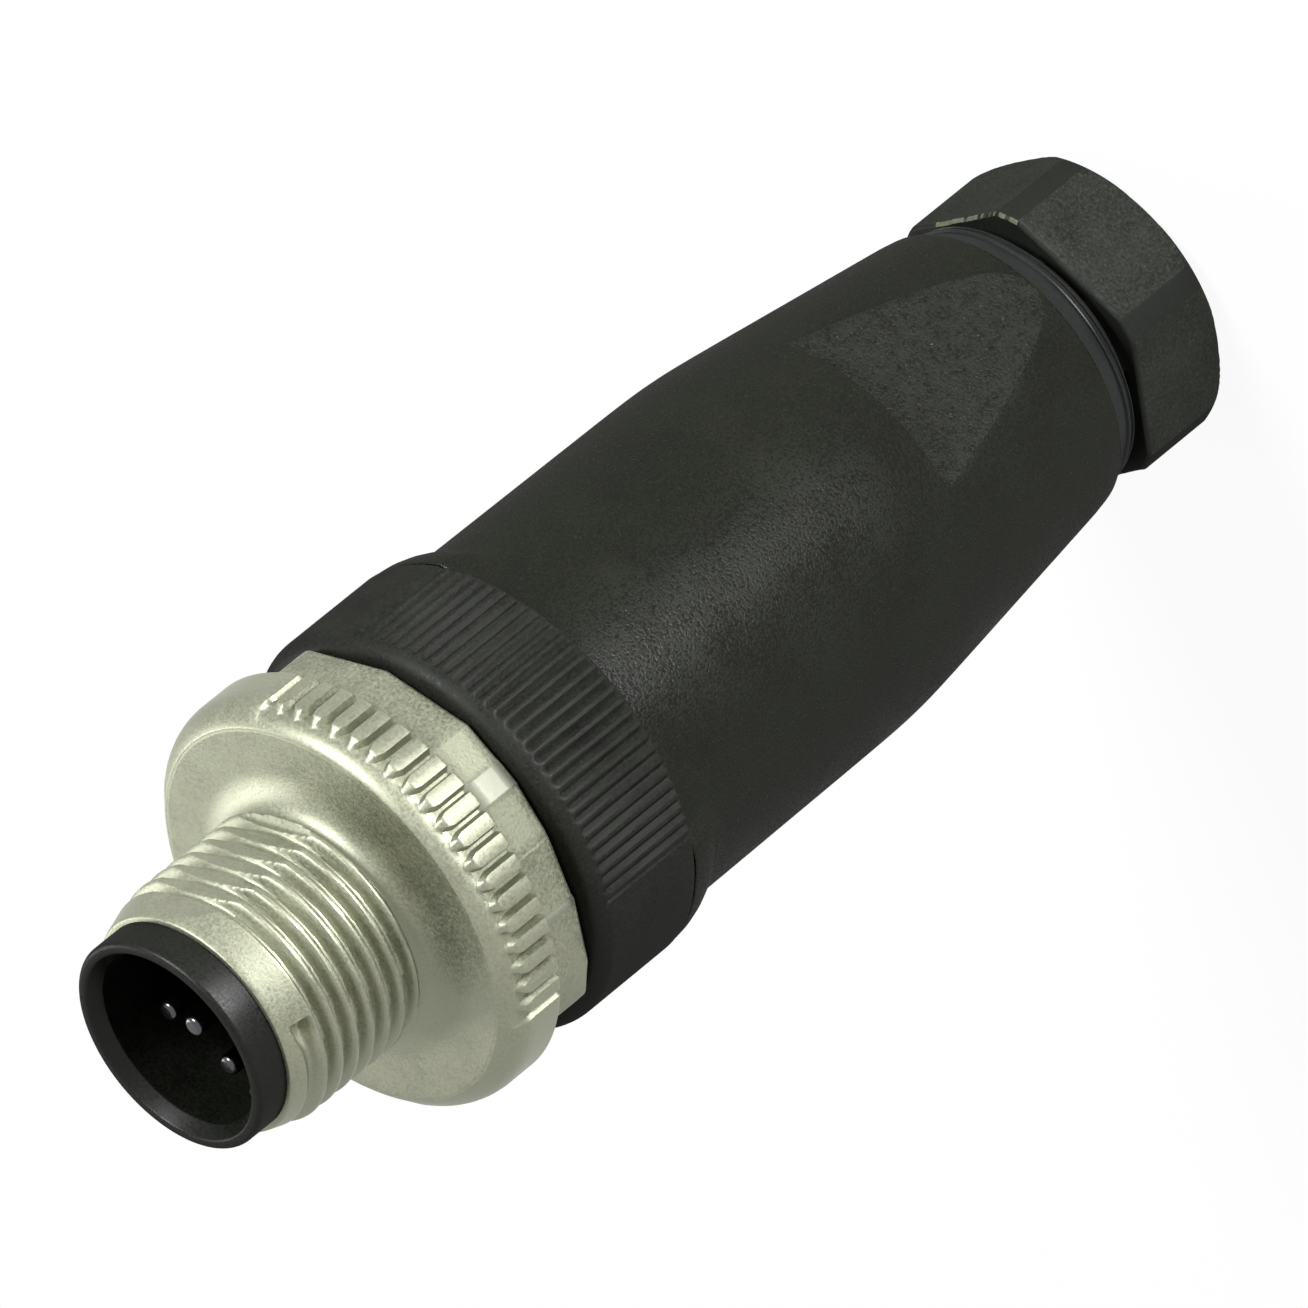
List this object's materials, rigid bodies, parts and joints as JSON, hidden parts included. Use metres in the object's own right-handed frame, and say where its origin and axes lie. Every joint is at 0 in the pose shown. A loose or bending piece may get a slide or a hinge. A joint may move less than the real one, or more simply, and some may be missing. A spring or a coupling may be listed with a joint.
{
  "type": "circular cable connector",
  "caption": "Straight round cable connector with an M12 screw lock, keyed male contact face, screw terminals, knurled ring, tapered grip body and hex gland nut.",
  "frame": {"origin": "centre of the gland nut's flat rear face, on which the connector stands", "axes": "+Z along the connector's axis from the cable end to the mating face; -Y towards the side seen in the picture, +X along the right-hand side of that side view"},
  "size_m": [0.0206, 0.0206, 0.0609],
  "materials": {
    "nickel_metal": "nickel-plated die-cast, satin",
    "spring_steel": "bright spring steel",
    "black_shroud": "semi-gloss black polyamide",
    "block_plastic": "matt black polyamide",
    "pin_silver": "plated contact, bright",
    "ring_plastic": "matt black polyamide",
    "body_plastic": "fine-grained black polyamide",
    "nut_plastic": "satin black polyamide, slightly blue-green",
    "cage_plastic": "matt dark polyamide",
    "seal_rubber": "nitrile rubber",
    "screw_steel": "zinc-plated steel"
  },
  "bodies": {
    "housing": {"grip_body": "body_plastic", "cable_seal": "seal_rubber"},
    "seal_ring": {"body_seal": "seal_rubber"},
    "insert": {"contact_carrier": "black_shroud", "contact_shroud": "black_shroud", "terminal_block": "block_plastic", "knurled_ring": "ring_plastic", "contact_pin_1": "pin_silver", "contact_pin_2": "pin_silver", "contact_pin_3": "pin_silver", "contact_pin_4": "pin_silver", "contact_pin_5": "pin_silver"},
    "coupling": {"coupling_screw": "nickel_metal", "retaining_ring": "spring_steel"},
    "cage": {"pinch_ring": "cage_plastic"},
    "nut": {"gland_nut": "nut_plastic"},
    "screw_1": {"terminal_screw_1": "screw_steel"},
    "screw_2": {"terminal_screw_2": "screw_steel"},
    "screw_3": {"terminal_screw_3": "screw_steel"},
    "screw_4": {"terminal_screw_4": "screw_steel"},
    "screw_5": {"terminal_screw_5": "screw_steel"}
  },
  "joints": [
    {"name": "insert_advance", "type": "slide", "parent": "housing", "child": "seal_ring", "axis": [0, 0, 1], "range_m": [0, 0.00501]},
    {"name": "insert_unscrew", "type": "hinge", "parent": "seal_ring", "child": "insert", "pos_m": [0, 0, 0.0385], "axis": [0, 0, 1], "range_deg": [0, 1800]},
    {"name": "coupling_spin", "type": "hinge", "parent": "insert", "child": "coupling", "pos_m": [0, 0, 0.0487], "axis": [0, 0, 1], "continuous": true},
    {"name": "cage_press", "type": "slide", "parent": "housing", "child": "cage", "axis": [0, 0, 1], "range_m": [-0.00501, 0.00051]},
    {"name": "gland_nut_turn", "type": "hinge", "parent": "cage", "child": "nut", "pos_m": [0, 0, 0.0023], "axis": [0, 0, 1], "range_deg": [-1800, 180]},
    {"name": "terminal_screw_1_turn", "type": "hinge", "parent": "insert", "child": "screw_1", "pos_m": [-0.00235, -0.00441, 0.0393], "axis": [-0.4695, -0.8829, 0], "range_deg": [-360, 720]},
    {"name": "terminal_screw_2_turn", "type": "hinge", "parent": "insert", "child": "screw_2", "pos_m": [-0.00441, 0.00235, 0.0393], "axis": [-0.8829, 0.4695, 0], "range_deg": [-360, 720]},
    {"name": "terminal_screw_3_turn", "type": "hinge", "parent": "insert", "child": "screw_3", "pos_m": [0.00235, 0.00441, 0.0393], "axis": [0.4695, 0.8829, 0], "range_deg": [-360, 720]},
    {"name": "terminal_screw_4_turn", "type": "hinge", "parent": "insert", "child": "screw_4", "pos_m": [0.00441, -0.00235, 0.0393], "axis": [0.8829, -0.4695, 0], "range_deg": [-360, 720]},
    {"name": "terminal_screw_5_turn", "type": "hinge", "parent": "insert", "child": "screw_5", "pos_m": [0.00478, 0.00146, 0.033], "axis": [0.9563, 0.2924, 0], "range_deg": [-360, 720]}
  ],
  "couplings": [
    {"joint": "insert_advance", "follows": "insert_unscrew", "m_per_rad": 0.00015915},
    {"joint": "cage_press", "follows": "gland_nut_turn", "m_per_rad": 0.00015915}
  ]
}
